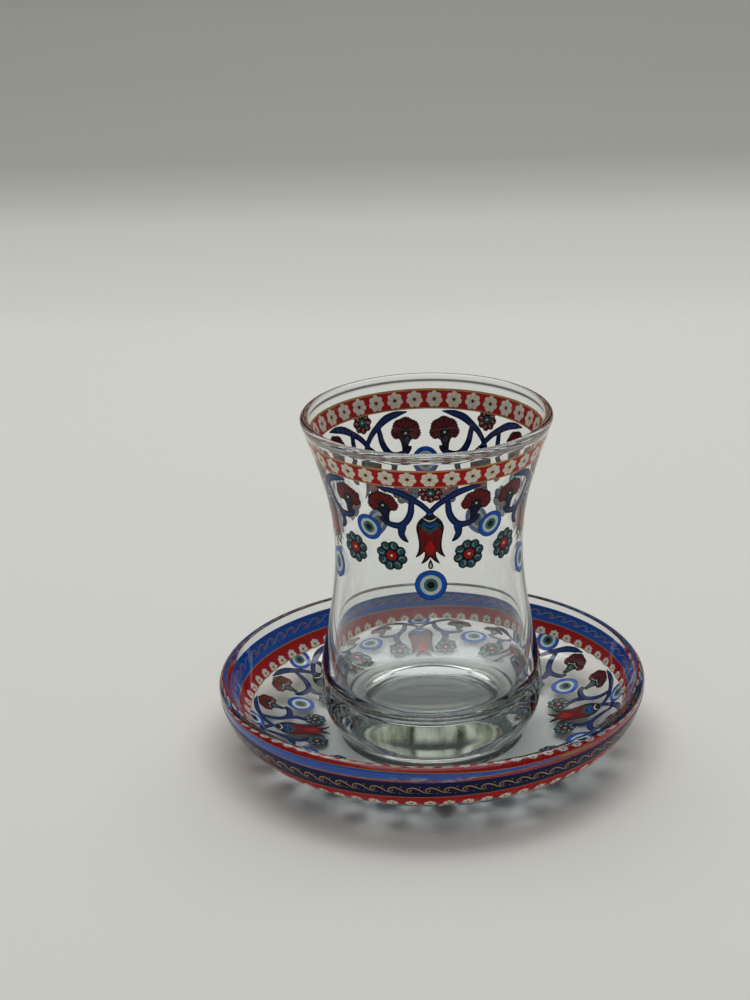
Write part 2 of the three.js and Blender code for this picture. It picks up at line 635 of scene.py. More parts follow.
def oval(
    centre: tuple[float, float], long: float, wide: float, turn: float, points: int = 14,
) -> np.ndarray:
    """An ellipse's outline.

    Args:
        centre: its middle.
        long: half-length.
        wide: half-width.
        turn: degrees from +X to its long axis.
        points: how many points.

    Returns:
        (points, 2) outline.
    """
    angle = np.linspace(0, 2 * np.pi, points, endpoint=False)
    flat = np.stack([long * np.cos(angle), wide * np.sin(angle)], axis=-1)
    return flat @ spin(turn) + np.array(centre)


def spin(turn: float) -> np.ndarray:
    """The matrix that turns row vectors counter-clockwise by degrees."""
    c, s = math.cos(math.radians(turn)), math.sin(math.radians(turn))
    return np.array([[c, s], [-s, c]])


def lobed(
    radius: float, lobes: int, notch: float, power: float, turn: float = 90.0, fine: int = 9,
) -> np.ndarray:
    """A flower's outline: radius times notch + (1 - notch) |cos(lobes a / 2)|^power.

    Args:
        radius: reach of the petals.
        lobes: how many petals.
        notch: depth between them, as a share of the radius.
        power: roundness, smaller is rounder.
        turn: degrees to the first petal.
        fine: points in a petal.

    Returns:
        The closed outline.
    """
    angle = np.linspace(0, 2 * np.pi, lobes * fine, endpoint=False)
    reach = radius * (notch + (1 - notch) * np.abs(np.cos(lobes * angle / 2)) ** power)
    return np.stack([reach * np.cos(angle), reach * np.sin(angle)], axis=-1) @ spin(turn)


def smooth(points: list[tuple[float, float]], closed: bool, steps: int = 5) -> np.ndarray:
    """A Catmull-Rom curve: it passes through the points, its slope at each set by its neighbours.

    Args:
        points: the points it goes through.
        closed: True to come back to the first.
        steps: steps between two points.

    Returns:
        The curve's points.
    """
    p = np.array(points, float)
    padded = np.concatenate([p[-1:], p, p[:2]]) if closed else np.concatenate([p[:1], p, p[-1:]])
    spans = len(p) if closed else len(p) - 1
    t = np.linspace(0, 1, steps, endpoint=False)[None, :, None]
    a, b, c, d = (padded[i : i + spans, None, :] for i in range(4))
    square, cube = 2 * a - 5 * b + 4 * c - d, 3 * b - a - 3 * c + d
    curve = (0.5 * (2 * b + (c - a) * t + square * t**2 + cube * t**3)).reshape(-1, 2)
    return curve if closed else np.concatenate([curve, p[-1:]])


def ribbon(path: np.ndarray, widths: list[float]) -> np.ndarray:
    """A stroke along a path: the path moved half a width to each side, closed at the ends.

    Args:
        path: (n, 2) points.
        widths: widths spread evenly from its start to its end.

    Returns:
        The closed outline.
    """
    length = np.concatenate([[0.0], np.cumsum(np.hypot(*np.diff(path, axis=0).T))])
    share = length / length[-1]
    half = np.interp(share, np.linspace(0, 1, len(widths)), widths)[:, None] / 2
    tangent = np.gradient(path, length, axis=0)
    tangent /= np.hypot(tangent[:, 0], tangent[:, 1])[:, None]
    side = np.stack([-tangent[:, 1], tangent[:, 0]], axis=-1) * half
    return np.concatenate([path - side, (path + side)[::-1]])


def flipped(outline: np.ndarray) -> np.ndarray:
    """The outline with left and right changed over."""
    return (outline * np.array([-1.0, 1.0]))[::-1]


def symmetric(right: list[tuple[float, float]], steps: int = 4) -> np.ndarray:
    """A smooth closed outline from its right half, listed from the top of the axis to the bottom.

    Args:
        right: points of the right half, both ends on the axis.
        steps: steps between points.

    Returns:
        The closed outline.
    """
    half = smooth(right, closed=False, steps=steps)
    return np.concatenate([half, flipped(half)[1:-1]])


@dataclass(frozen=True)
class Motifs:
    """The print's figures, each a list of patches painted in order."""

    daisy_petals: int = 7

    def daisy(self, radius: float) -> list[Patch]:
        """A cream daisy with a dark eye and faint lines between its petals.

        Args:
            radius: reach of its petals.

        Returns:
            The patches.
        """
        patches = [Patch(lobed(radius, self.daisy_petals, 0.66, 0.45), Ink.CREAM)]
        for number in range(self.daisy_petals):
            turn = 90.0 + (number + 0.5) * 360.0 / self.daisy_petals
            fold = np.array([(radius * 0.3, 0.0), (radius * 0.66, 0.0)]) @ spin(turn)
            patches.append(Patch(ribbon(fold, [0.04 * radius, 0.04 * radius]), Ink.GOLD))
        patches.append(Patch(round_field(radius * 0.27, 12), Ink.GOLD))
        patches.append(Patch(round_field(radius * 0.16, 10), Ink.BLACK))
        return patches

    def eye(self, radius: float) -> list[Patch]:
        """The blue bead that wards off envy: rings of blue, pale blue, teal and black.

        Args:
            radius: its outer radius.

        Returns:
            The patches.
        """
        return [
            Patch(round_field(radius, 40), Ink.NAVY),
            Patch(round_field(radius * 0.95, 40), Ink.BLUE),
            Patch(round_field(radius * 0.67, 32), Ink.SKY),
            Patch(round_field(radius * 0.44, 26), Ink.SEA),
            Patch(round_field(radius * 0.24, 16), Ink.BLACK),
        ]

    def rosette(self, radius: float, petal: Ink, heart: Ink, dot: Ink) -> list[Patch]:
        """A dark-edged flower of eight petals round a scalloped heart.

        Args:
            radius: reach of its petals.
            petal: ink of the petals.
            heart: ink of the heart.
            dot: ink of the dot in the heart.

        Returns:
            The patches.
        """
        patches = [Patch(lobed(radius, 8, 0.76, 0.5), Ink.BLACK)]
        for number in range(8):
            turn = 90.0 + number * 45.0
            along = np.array([math.cos(math.radians(turn)), math.sin(math.radians(turn))])
            middle = tuple(along * radius * 0.68)
            patches.append(Patch(oval(middle, radius * 0.26, radius * 0.225, turn), petal))
            glint = smooth([(0.52, -0.1), (0.56, 0.06), (0.7, 0.12), (0.82, 0.07)], closed=False, steps=3)
            patches.append(Patch(ribbon(glint @ spin(turn) * radius, [0.05, 0.16, 0.05]), Ink.SKY))
        patches.append(Patch(lobed(radius * 0.34, 8, 0.8, 0.6, 90.0, 5), heart))
        patches.append(Patch(round_field(radius * 0.09, 10), dot))
        return patches

    def tulip(self) -> list[Patch]:
        """A hanging tulip, its stem end at the origin: scaled cap over four red petals.

        Returns:
            The patches.
        """
        body = symmetric([
            (0.0, 0.0), (0.9, -0.35), (2.0, -1.3), (2.95, -2.6), (3.36, -4.3), (3.05, -6.4), (2.75, -8.9),
            (3.0, -11.0), (3.62, -12.6), (2.4, -11.9), (1.42, -11.05), (1.55, -12.6), (2.28, -14.3),
            (1.1, -13.7), (0.0, -12.5),
        ])
        red = symmetric([
            (0.0, -4.0), (1.4, -4.1), (2.6, -4.6), (2.62, -6.4), (2.25, -8.9), (2.3, -10.7), (2.75, -11.6),
            (1.7, -10.9), (0.9, -10.7), (1.05, -12.4), (1.35, -13.2), (0.75, -12.6), (0.0, -11.9),
        ])
        flame = symmetric([(0.0, -7.6), (0.5, -8.6), (1.25, -10.2), (0.75, -11.3), (0.0, -11.8)])
        teal = symmetric([(0.0, -2.2), (1.1, -2.5), (2.15, -3.3), (1.75, -4.6), (0.9, -5.1), (0.0, -6.1)])
        patches = [
            Patch(body, Ink.BLACK),
            Patch(red, Ink.CRIMSON),
            Patch(flame, Ink.RED),
            Patch(teal, Ink.TEAL),
        ]
        for level, reach, ink in ((-3.9, 1.6, Ink.BLACK), (-3.4, 1.7, Ink.BLUE), (-2.7, 1.75, Ink.NAVY)):
            path = smooth([
                (-reach, level + 0.9), (-reach * 0.5, level), (0.0, level - 0.5),
                (reach * 0.5, level), (reach, level + 0.9),
            ], closed=False, steps=4)
            patches.append(Patch(ribbon(path, [0.1, 0.45, 0.55, 0.45, 0.1]), ink))
        line = ((1.5, -5.6), (1.15, -7.2), (1.35, -9.0), (1.9, -10.6))
        for side in (-1.0, 1.0):
            vein = smooth([(side * across, up) for across, up in line], closed=False)
            patches.append(Patch(ribbon(vein, [0.12, 0.24, 0.12]), Ink.BLACK))
        patches.append(Patch(oval((0.0, -0.25), 1.0, 0.62, 0.0), Ink.NAVY))
        patches.append(Patch(oval((0.0, -0.15), 0.62, 0.26, 0.0), Ink.BLUE))
        wings = smooth([
            (-1.6, -1.25), (-1.0, -1.85), (0.0, -2.2), (1.0, -1.85), (1.6, -1.25),
        ], closed=False)
        patches.append(Patch(ribbon(wings, [0.12, 0.34, 0.3, 0.34, 0.12]), Ink.CREAM))
        for side in (-1.0, 1.0):
            patches.append(Patch(oval((side * 2.45, -3.7), 0.55, 0.18, 90 + side * 12, 10), Ink.TEAL))
        return patches

    def drop(self) -> list[Patch]:
        """The outlined tear under the tulip, its point at the origin.

        Returns:
            The patches.
        """
        edge = symmetric([(0.0, 0.0), (0.32, -0.8), (0.64, -1.9), (0.4, -2.65), (0.0, -2.85)])
        light = symmetric([(0.0, -1.1), (0.2, -1.7), (0.26, -2.1), (0.0, -2.45)])
        return [Patch(edge, Ink.BLACK), Patch(light, Ink.SKY)]

    def carnation(self, stripes: bool) -> list[Patch]:
        """A carnation standing on its calyx: a saw-edged fan of five petals about the origin.

        Args:
            stripes: True to stripe the petals and dot the calyx, as on the saucer.

        Returns:
            The patches.
        """
        half_fan, petal_turn, saw_points = 107.0, 46.0, 41
        angle = np.linspace(90.0 - half_fan, 90.0 + half_fan, saw_points)
        petal_wave = 0.3 * np.abs(np.cos(np.radians((angle - 90.0) * 180.0 / petal_turn)))
        teeth = 0.14 * np.where(np.arange(saw_points) % 2 == 0, 1.0, -1.0)
        reach = 3.75 + petal_wave + teeth - 0.55 * np.abs((angle - 90.0) / half_fan) ** 5
        rim = np.stack([reach * np.cos(np.radians(angle)), reach * np.sin(np.radians(angle))], axis=-1)
        calyx = np.array([
            (-2.6, -1.5), (-1.75, -1.35), (-1.3, -1.9), (-0.95, -2.8), (-0.8, -3.6), (-0.7, -4.4),
            (0.5, -4.4), (0.7, -3.6), (0.9, -2.8), (1.2, -1.9), (1.75, -1.35), (2.6, -1.5),
        ])
        patches = [Patch(np.concatenate([rim, calyx]), Ink.BLACK)]
        for number in range(5):
            turn = 90.0 + (number - 2) * petal_turn
            petal = np.array([
                (1.25, -0.28), (2.3, -0.95), (3.2, -1.12), (3.5, -0.5), (3.55, 0.0),
                (3.5, 0.5), (3.2, 1.12), (2.3, 0.95), (1.25, 0.28),
            ])
            patches.append(Patch(petal @ spin(turn), Ink.CRIMSON))
            for lean in (-11.0, 11.0) if stripes else (0.0,):
                line = np.array([(1.5, 0.0), (3.4, 0.0)]) @ spin(turn + lean)
                patches.append(Patch(ribbon(line, [0.16, 0.42]), Ink.BLACK))
        cup = [
            (-0.85, -1.3), (-0.45, -0.95), (0.0, -0.8), (0.45, -0.95), (0.85, -1.3),
            (0.4, -2.3), (0.15, -3.4), (-0.3, -3.4), (-0.5, -2.3),
        ]
        patches.append(Patch(smooth(cup, closed=True, steps=3), Ink.TEAL if stripes else Ink.NAVY))
        patches.append(Patch(round_field(0.3, 10, (0.0, 0.05)), Ink.SKY))
        for number in (-2, -1, 1, 2):
            at = (0.82 * number, -0.05 - 0.28 * abs(number))
            size = 0.2 if stripes else 0.12
            patches.append(Patch(round_field(size, 8, at), Ink.CREAM if stripes else Ink.TEAL))
        return patches

    def branch(self) -> list[Patch]:
        """The right-hand arm, hook and leaf of the stem, from the tulip's top at the origin.

        Returns:
            The patches.
        """
        arm = smooth([
            (0.0, 0.0), (1.85, 2.15), (3.9, 3.75), (6.9, 5.6), (9.9, 6.5), (13.2, 6.95),
        ], closed=False)
        hook = smooth([
            (4.3, 4.0), (4.45, 1.9), (4.6, 0.0), (5.15, -1.7), (6.1, -3.2),
            (7.4, -4.05), (8.9, -4.1), (10.6, -3.6), (11.7, -2.7), (12.0, -1.9),
        ], closed=False)
        leaf = smooth([
            (4.9, -1.6), (5.55, -3.2), (5.75, -4.8), (6.1, -6.6), (5.2, -8.75),
            (6.7, -8.35), (7.75, -6.9), (7.95, -4.7), (7.9, -4.1), (6.6, -3.4),
        ], closed=True, steps=3)
        vein = smooth([
            (5.5, -2.6), (6.1, -4.4), (6.5, -6.3), (6.35, -7.7),
            (7.2, -6.7), (7.45, -4.9), (7.2, -4.0), (6.2, -3.1),
        ], closed=True, steps=3)
        return [
            Patch(leaf, Ink.NAVY),
            Patch(ribbon(arm, [1.35, 1.55, 1.75, 2.05, 1.7, 0.3]), Ink.NAVY),
            Patch(ribbon(hook, [1.3, 1.55, 1.75, 1.85, 1.85, 1.6, 1.3]), Ink.NAVY),
            Patch(ribbon(arm, [0.4, 0.6, 0.7, 1.0, 0.8, 0.1]), Ink.COBALT),
            Patch(ribbon(hook, [0.4, 0.6, 0.7, 0.8, 0.8, 0.5, 0.1]), Ink.COBALT),
            Patch(vein, Ink.COBALT),
        ]

    def wave(self, period: float) -> list[Patch]:
        """One curl of the running scroll, its crest over the origin, with dots in its hollows.

        Args:
            period: length from crest to crest.

        Returns:
            The patches.
        """
        curl = smooth([
            (-0.06, -0.1), (-0.14, -0.38), (-0.27, -0.3), (-0.3, 0.2), (-0.16, 0.72),
            (0.08, 0.82), (0.34, 0.3), (0.58, -0.45), (0.84, -0.85), (1.1, -0.8),
        ], closed=False, steps=4) * np.array([period, 1.0])
        return [
            Patch(ribbon(curl, [0.1, 0.24, 0.3, 0.34, 0.3, 0.24, 0.08]), Ink.GOLD),
            Patch(round_field(0.17, 8, (-0.08 * period, 0.12)), Ink.GOLD),
            Patch(round_field(0.15, 8, (0.4 * period, 1.05)), Ink.GOLD),
            Patch(round_field(0.15, 8, (0.3 * period, -0.95)), Ink.GOLD),
        ]


class Sheet:
    """One repeat of a print on a skin, painted in order and then cut into fields of one ink.

    All outlines are joined in one constrained Delaunay triangulation of the unrolled skin, and
    each triangle takes the ink of the last patch that covers it, so the print is a single layer
    that reads the same from both sides. SPACING is the longest edge in millimetres, and points at
    the same one of ANGLE_STEPS in a radian and DOWN_STEPS in a millimetre count as one.
    """

    SPACING = 1.1
    ANGLE_STEPS = 1e5
    DOWN_STEPS = 1e3

    def __init__(self, skin: Skin, repeats: int) -> None:
        """Starts an empty sheet.

        Args:
            skin: the surface it lies on.
            repeats: how many times it goes round.
        """
        self.skin = skin
        self.repeats = repeats
        self.step = 2 * np.pi / repeats
        self.outlines: list[np.ndarray] = []
        self.inks: list[Ink | None] = []

    def lay(self, patches: list[Patch], spot: Spot) -> None:
        """Paints a motif: turned, scaled, then wrapped so that its width in millimetres holds.

        Args:
            patches: the motif.
            spot: where it goes.
        """
        for patch in patches:
            outline = flipped(patch.outline) if spot.flip else patch.outline
            moved = outline @ spin(spot.turn) * spot.size
            down = spot.down - moved[:, 1]
            angle = math.radians(spot.angle) + moved[:, 0] / self.skin.radius(down)
            self.outlines.append(np.stack([angle, down], axis=-1))
            self.inks.append(patch.ink)

    def band(self, upper: float, lower: float, ink: Ink | None) -> None:
        """Paints a stripe across the repeat.

        Args:
            upper: its upper edge, down from the rim.
            lower: its lower edge.
            ink: its ink, or None to clear what is there.
        """
        half = self.step / 2
        self.outlines.append(np.array([[-half, lower], [half, lower], [half, upper], [-half, upper]]))
        self.inks.append(ink)

    def trim(self) -> None:
        """Clears what stands past the two ends of the repeat."""
        low = min(outline[:, 1].min() for outline in self.outlines) - 1
        high = max(outline[:, 1].max() for outline in self.outlines) + 1
        for side in (-1, 1):
            near, far = sorted((side * self.step / 2, side * self.step * 1.6))
            self.outlines.append(np.array([[near, high], [far, high], [far, low], [near, low]]))
            self.inks.append(None)

    def cells(self) -> tuple[np.ndarray, np.ndarray, np.ndarray]:
        """Cuts the repeat into triangles of one ink.

        Returns:
            (n, 2) places, (m, 3) triangles and (m,) ink numbers.
        """
        middle = float(np.mean([outline[:, 1].mean() for outline in self.outlines]))
        unroll = np.array([float(self.skin.radius(middle)), -1.0])
        flat = [self.finely(outline * unroll) for outline in self.outlines]
        low = np.min([outline.min(axis=0) for outline in flat], axis=0)
        high = np.max([outline.max(axis=0) for outline in flat], axis=0)
        across = np.arange(low[0] + 0.43 * self.SPACING, high[0], self.SPACING)
        along = np.arange(low[1] + 0.37 * self.SPACING, high[1], self.SPACING)
        lattice = np.stack(np.meshgrid(across, along), axis=-1).reshape(-1, 2)
        starts = np.cumsum([0] + [len(outline) for outline in flat])
        rings = [list(range(starts[i], starts[i + 1])) for i in range(len(flat))]
        seeds = [Vector(point) for point in np.concatenate(flat + [lattice]).tolist()]
        points, _, faces, _, _, owners = delaunay_2d_cdt(seeds, [], rings, 1, 1e-4)
        inks = list(Ink)
        top = [self.inks[max(owner)] if owner else None for owner in owners]
        kept = [i for i, ink in enumerate(top) if ink is not None]
        triangles = np.array([faces[i][:] for i in kept])
        number = np.array([inks.index(top[i]) for i in kept])
        return np.array([p[:] for p in points]) / unroll, triangles, number

    def finely(self, outline: np.ndarray) -> np.ndarray:
        """The outline, counter-clockwise, with points added so that no edge is over the spacing.

        Args:
            outline: (n, 2) closed outline.

        Returns:
            The outline with its added points.
        """
        x, y = outline.T
        if np.sum(x * np.roll(y, -1) - y * np.roll(x, -1)) < 0:
            outline = outline[::-1]
        after = np.roll(outline, -1, axis=0)
        pieces = np.maximum(1, np.ceil(np.hypot(*(after - outline).T) / self.SPACING)).astype(int)
        start = np.repeat(np.arange(len(outline)), pieces)
        before = np.repeat(np.cumsum(pieces) - pieces, pieces)
        share = (np.arange(len(start)) - before) / np.repeat(pieces, pieces)
        return outline[start] + (after - outline)[start] * share[:, None]

    def around(self) -> tuple[np.ndarray, np.ndarray, np.ndarray]:
        """The cells repeated round the vessel, with the joins between repeats welded.

        Returns:
            (n, 2) places, (m, 3) triangles and (m,) ink numbers.
        """
        places, triangles, number = self.cells()
        turns = np.arange(self.repeats)
        angle = (places[None, :, 0] + turns[:, None] * self.step).ravel()
        down = np.tile(places[:, 1], self.repeats)
        joined = (triangles[None] + turns[:, None, None] * len(places)).reshape(-1, 3)
        full_turn = int(round(2 * np.pi * self.ANGLE_STEPS))
        wheel = np.round((angle % (2 * np.pi)) * self.ANGLE_STEPS).astype(np.int64) % full_turn
        key = np.stack([wheel, np.round(down * self.DOWN_STEPS).astype(np.int64)], axis=-1)
        _, first, same = np.unique(key, axis=0, return_index=True, return_inverse=True)
        joined = same.reshape(-1)[joined]
        number = np.tile(number, self.repeats)
        a, b, c = joined.T
        whole = (a != b) & (b != c) & (a != c)
        return np.stack([angle[first], down[first]], axis=-1), joined[whole], number[whole]


@dataclass
class EnamelPrint:
    """The fired print of one vessel: thin closed shells, half sunk in the glass, one for each ink.

    A transfer never sits quite true on its vessel. This one drifts some millimetres towards one
    side, so there it lies nearer the rim: down - drift min(1, down / drift_full) cos(angle -
    drift_toward). Near the rim it is held by the edge, so it drifts less.
    """

    name: str
    sheets: list[Sheet]
    turn: float
    drift: float = 0.0
    drift_toward: float = 0.0
    drift_full: float = 11.0
    lift: float = 0.0
    half_thickness: float = 0.03

    def build(self) -> None:
        """Makes one piece for each ink that the sheets use."""
        painted = [(sheet.skin, *sheet.around()) for sheet in self.sheets]
        for number, ink in enumerate(Ink):
            shells = [
                self.shell(skin, places, cells[inks == number])
                for skin, places, cells, inks in painted
                if np.any(inks == number)
            ]
            if shells:
                self.dress(ink, shells)

    def shell(
        self, skin: Skin, places: np.ndarray, cells: np.ndarray,
    ) -> tuple[np.ndarray, list, np.ndarray]:
        """Thickens triangles on a skin: both faces, and walls along the edges that one triangle has.

        Args:
            skin: the surface.
            places: (n, 2) places on it.
            cells: (m, 3) triangles, counter-clockwise from outside.

        Returns:
            Points in millimetres, faces, and the pairs whose edges stay crisp.
        """
        used, inverse = np.unique(cells, return_inverse=True)
        cells = inverse.reshape(-1, 3)
        angle = places[used, 0] + math.radians(self.turn)
        laid = places[used, 1]
        drift = self.drift * np.minimum(1.0, laid / self.drift_full)
        down = laid - drift * np.cos(angle - math.radians(self.drift_toward))
        outer = skin.place(angle, down, self.lift + self.half_thickness)
        inner = skin.place(angle, down, self.lift - self.half_thickness)
        count = len(used)
        edges = np.concatenate([cells[:, [0, 1]], cells[:, [1, 2]], cells[:, [2, 0]]])
        forward = edges[:, 0] * count + edges[:, 1]
        backward = edges[:, 1] * count + edges[:, 0]
        rim = edges[~np.isin(forward, backward)]
        walls = np.stack([rim[:, 0], rim[:, 0] + count, rim[:, 1] + count, rim[:, 1]], axis=-1)
        faces = cells.tolist() + (cells[:, ::-1] + count).tolist() + walls.tolist()
        return np.concatenate([outer, inner]), faces, np.concatenate([rim, rim + count])

    def dress(self, ink: Ink, shells: list[tuple[np.ndarray, list, np.ndarray]]) -> None:
        """Joins the shells of one ink into a piece and gives it its finish.

        Args:
            ink: which ink.
            shells: points, faces and crisp pairs of each sheet's part.
        """
        points, faces, crisp, start = [], [], [], 0
        for shell_points, shell_faces, shell_crisp in shells:
            faces += [[corner + start for corner in face] for face in shell_faces]
            crisp.append(shell_crisp + start)
            points.append(shell_points)
            start += len(shell_points)
        name = f"{self.name}_{ink.value}"
        finish = FINISHES[ink]
        joined = np.concatenate(points)
        piece = piece_from(name, joined, faces, finish.material(name), np.concatenate(crisp))
        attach(piece, BODY)
        log.info("%s: %d faces", name, len(faces))


@dataclass
class GlassPrint:
    """The print on the tea glass: a daisy band under the mouth, and five hanging tulips below it.

    Drops are millimetres below the band, or below the knot of the stems; angles are degrees from
    the middle of a repeat.
    """

    skin: Skin
    motifs: Motifs
    turn: float = 0.9
    repeats: int = 5
    daisies: int = 35
    band_top: float = 3.3
    band_bottom: float = 8.6
    gold_line: float = 0.55
    thin_line: float = 0.35
    knot_drop: float = 7.5
    carnation_angle: float = 24.8
    rosette_angle: float = 23.0
    rosette_drop: float = 12.9
    tear_drop: float = 13.2
    eye_drop: float = 20.3
    side_eye_drop: float = 5.8

    def daisy_band(self) -> Sheet:
        """One daisy on its length of the red band, with a gold line over and under it.

        Returns:
            The sheet.
        """
        sheet = Sheet(self.skin, self.daisies)
        sheet.band(self.band_top, self.band_bottom, Ink.RED)
        sheet.band(self.band_top, self.band_top + self.gold_line, Ink.GOLD)
        sheet.band(self.band_bottom - self.thin_line, self.band_bottom, Ink.GOLD)
        middle = (self.band_top + self.gold_line + self.band_bottom - self.thin_line) / 2
        sheet.lay(self.motifs.daisy(2.2), Spot(0.0, middle))
        return sheet

    def tulip_field(self) -> Sheet:
        """One tulip with its stems, carnations, rosettes and eyes.

        Returns:
            The sheet.
        """
        sheet = Sheet(self.skin, self.repeats)
        lay = sheet.lay
        knot = self.band_bottom + self.knot_drop
        crown = self.motifs.rosette(2.95, Ink.CRIMSON, Ink.TEAL, Ink.CREAM)
        lay(crown, Spot(0.4, self.band_bottom + 1.6))
        for flip in (False, True):
            lay(self.motifs.branch(), Spot(0.0, knot, flip=flip))
        for side in (-1, 1):
            carnation = self.motifs.carnation(stripes=False)
            lay(carnation, Spot(side * self.carnation_angle, knot - 1.4, -6.0 * side, 1.07, side < 0))
            rosette = self.motifs.rosette(4.1, Ink.TEAL, Ink.RED, Ink.CREAM)
            lay(rosette, Spot(side * self.rosette_angle, knot + self.rosette_drop, turn=side * 14))
        lay(self.motifs.tulip(), Spot(0.0, knot + 0.3))
        lay(self.motifs.drop(), Spot(0.0, knot + self.tear_drop))
        lay(self.motifs.eye(3.95), Spot(0.0, knot + self.eye_drop))
        lay(self.motifs.eye(3.55), Spot(180.0 / self.repeats, knot + self.side_eye_drop))
        sheet.band(self.band_bottom - 4.0, self.band_bottom, None)
        return sheet

    def build(self) -> None:
        """Makes the print's pieces."""
        EnamelPrint("glass_print", [self.daisy_band(), self.tulip_field()], self.turn).build()


@dataclass
class SaucerPrint:
    """The print under the saucer: a blue scroll band, a red daisy band and eight tulips inwards."""

    skin: Skin
    motifs: Motifs
    turn: float = 4.2
    repeats: int = 8
    daisies: int = 70
    waves: int = 76
    blue_top: float = 1.8
    blue_bottom: float = 6.4
    red_bottom: float = 11.0
    line: float = 0.28
    drift: float = 2.0
    drift_toward: float = 108.0
    # How far out the navy copy of the scroll band lies; that copy is painted shade on the band's outside.
    painted_shade_lift: float = 0.07
    stem_radius: float = 44.0
    tulip_radius: float = 43.8
    carnation_radius: float = 46.2
    carnation_angle: float = 15.2
    rosette_radius: float = 33.2
    rosette_angle: float = 11.5
    eye_radius: float = 38.7

    def scroll_band(self, ground: Ink) -> Sheet:
        """One curl of the running scroll on its length of a band.

        Args:
            ground: ink of the band.

        Returns:
            The sheet.
        """
        sheet = Sheet(self.skin, self.waves)
        sheet.band(self.blue_top, self.blue_bottom, ground)
        middle = (self.blue_top + self.blue_bottom) / 2
        period = float(self.skin.radius(middle)) * sheet.step
        for shift in (-1, 0, 1):
            sheet.lay(self.motifs.wave(period), Spot(shift * math.degrees(sheet.step), middle))
        sheet.trim()
        return sheet

    def daisy_band(self) -> Sheet:
        """One daisy on its length of the red band, standing on the inner line.

        Returns:
            The sheet.
        """
        sheet = Sheet(self.skin, self.daisies)
        sheet.band(self.blue_bottom, self.red_bottom, Ink.RED)
        sheet.band(self.blue_bottom, self.blue_bottom + self.line, Ink.GOLD)
        sheet.lay(self.motifs.daisy(1.55), Spot(0.0, self.red_bottom - 1.05))
        sheet.band(self.red_bottom - self.line, self.red_bottom, Ink.GOLD)
        return sheet

    def tulip_field(self) -> Sheet:
        """One tulip pointing to the middle, with its stems, carnations, rosettes and eyes.

        Returns:
            The sheet.
        """
        sheet = Sheet(self.skin, self.repeats)
        lay = sheet.lay
        at = self.skin.down_at_radius
        lay(self.motifs.eye(3.6), Spot(0.0, self.red_bottom + 1.4))
        for flip in (False, True):
            lay(self.motifs.branch(), Spot(0.0, at(self.stem_radius), flip=flip))
        for side in (-1, 1):
            carnation = self.motifs.carnation(stripes=True)
            lay(carnation, Spot(side * self.carnation_angle, at(self.carnation_radius), flip=side < 0))
            rosette = self.motifs.rosette(3.1, Ink.TEAL, Ink.CRIMSON, Ink.CREAM)
            lay(rosette, Spot(side * self.rosette_angle, at(self.rosette_radius)))
        lay(self.motifs.tulip(), Spot(0.0, at(self.tulip_radius), size=1.06))
        lay(self.motifs.eye(3.8), Spot(180.0 / self.repeats, at(self.eye_radius)))
        sheet.band(self.red_bottom - 4.0, self.red_bottom, None)
        return sheet

    def build(self) -> None:
        """Makes the print's pieces, and a navy copy of the scroll band just outside it: painted shade, so
        that the band looks dark from outside.
        """
        place = {"turn": self.turn, "drift": self.drift, "drift_toward": self.drift_toward}
        sheets = [self.scroll_band(Ink.BLUE), self.daisy_band(), self.tulip_field()]
        EnamelPrint("saucer_print", sheets, **place).build()
        # Painted shade: a navy copy of the scroll band, laid just outside the blue one, darkens the band
        # as seen from outside.
        shade_sheets = [self.scroll_band(Ink.NAVY)]
        EnamelPrint("saucer_painted_shade", shade_sheets, lift=self.painted_shade_lift, **place).build()


